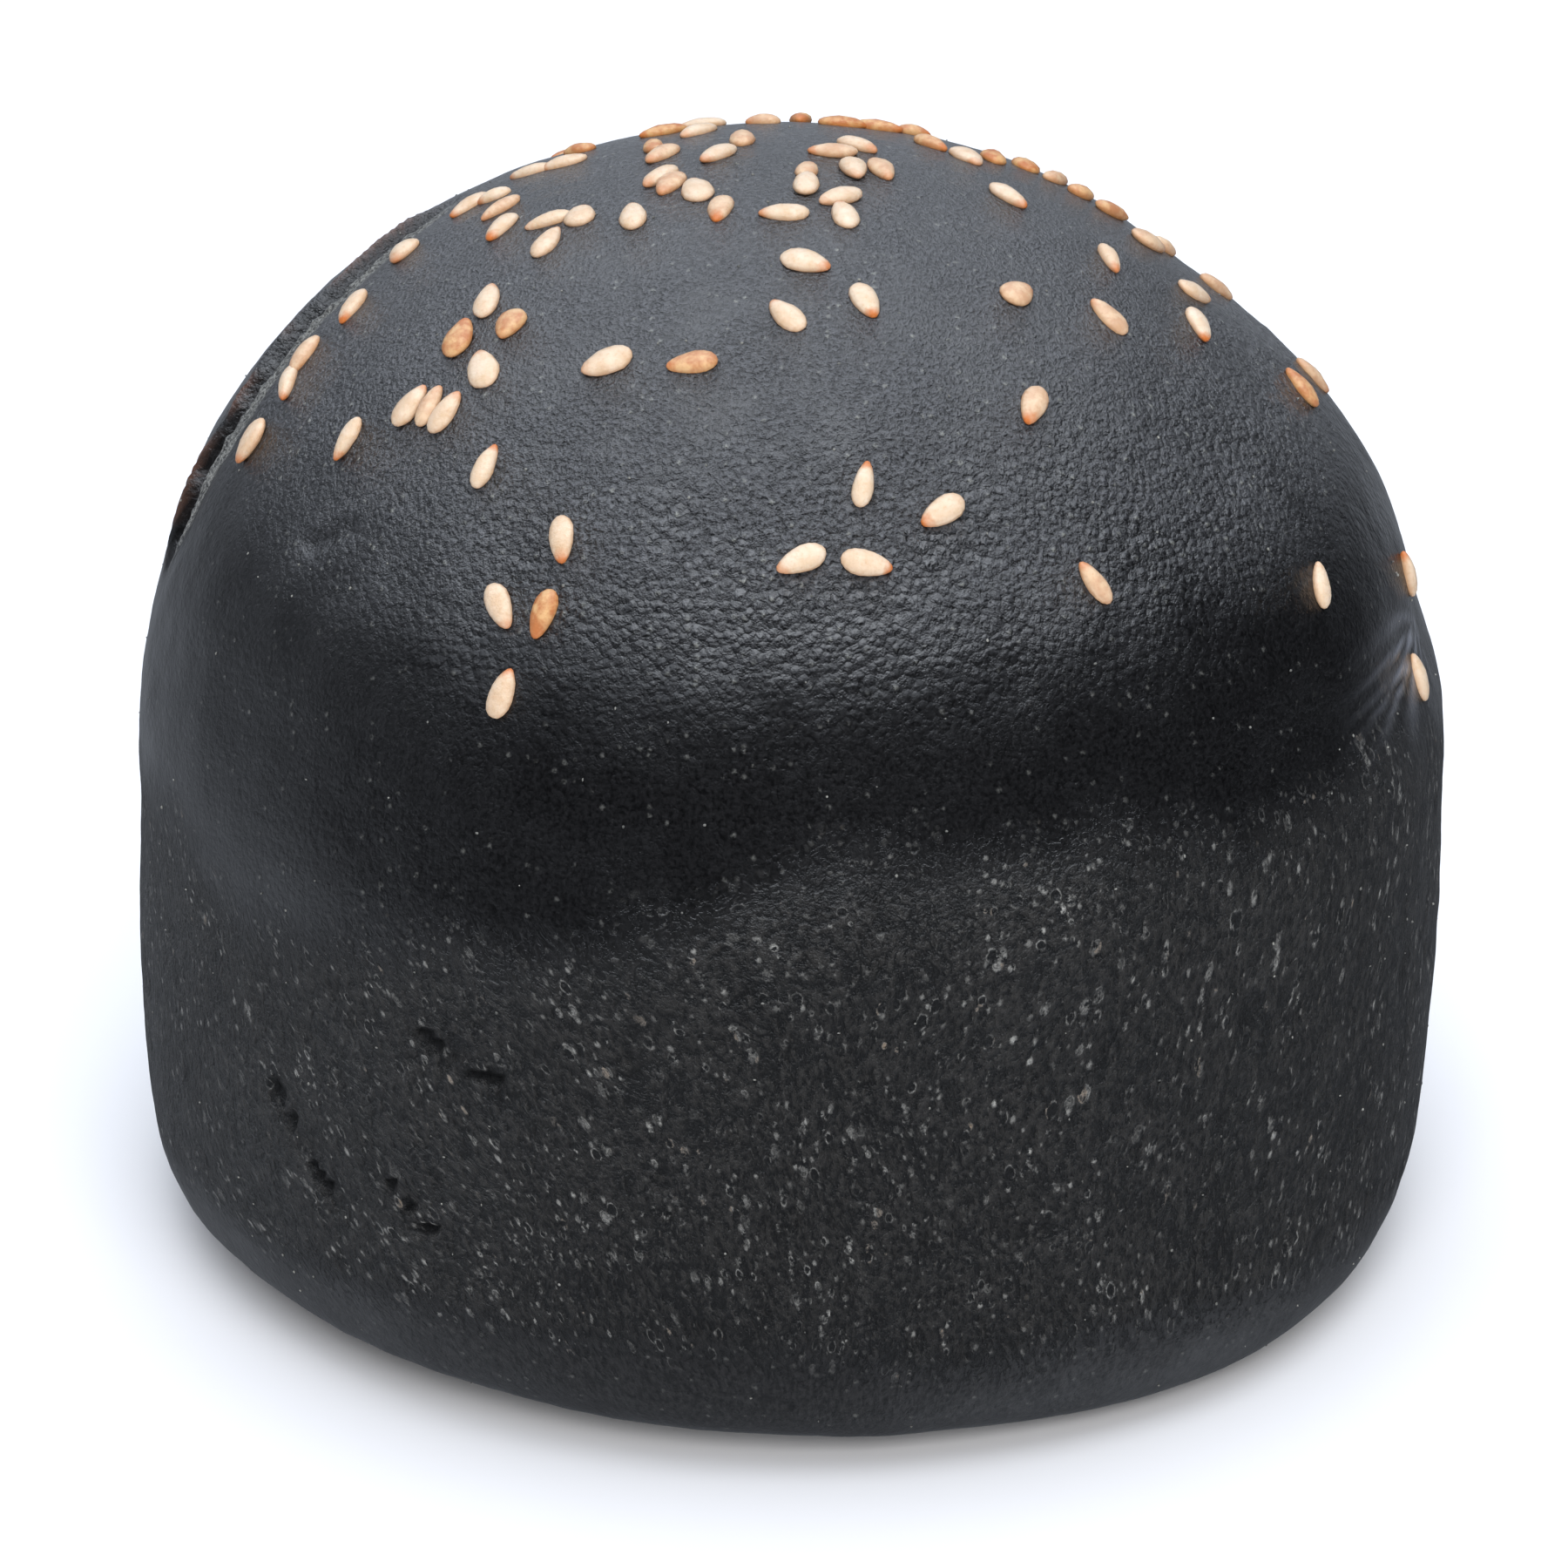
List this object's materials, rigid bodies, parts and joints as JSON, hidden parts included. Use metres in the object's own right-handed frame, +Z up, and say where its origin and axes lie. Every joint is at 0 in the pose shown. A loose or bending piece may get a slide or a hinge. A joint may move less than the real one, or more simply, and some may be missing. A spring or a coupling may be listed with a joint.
{
  "type": "burger bun",
  "caption": "Tall black burger bun baked in a ring: straight porous wall, flat base, domed crown scattered with sesame seeds, a crease round the shoulder and a tear at one side",
  "frame": {"origin": "middle of the flat base, on the surface the bun stands on", "axes": "+Z up through the crown; +X to the right and +Y away from the viewer as the picture shows the bun"},
  "size_m": [0.0899, 0.0894, 0.0756],
  "materials": {
    "black_crust": "near-black baked crust, satin on the dome and matt and porous on the wall, with ivory and toasted sesame seeds"
  },
  "bodies": {
    "root": {"bun": "black_crust"}
  },
  "joints": []
}
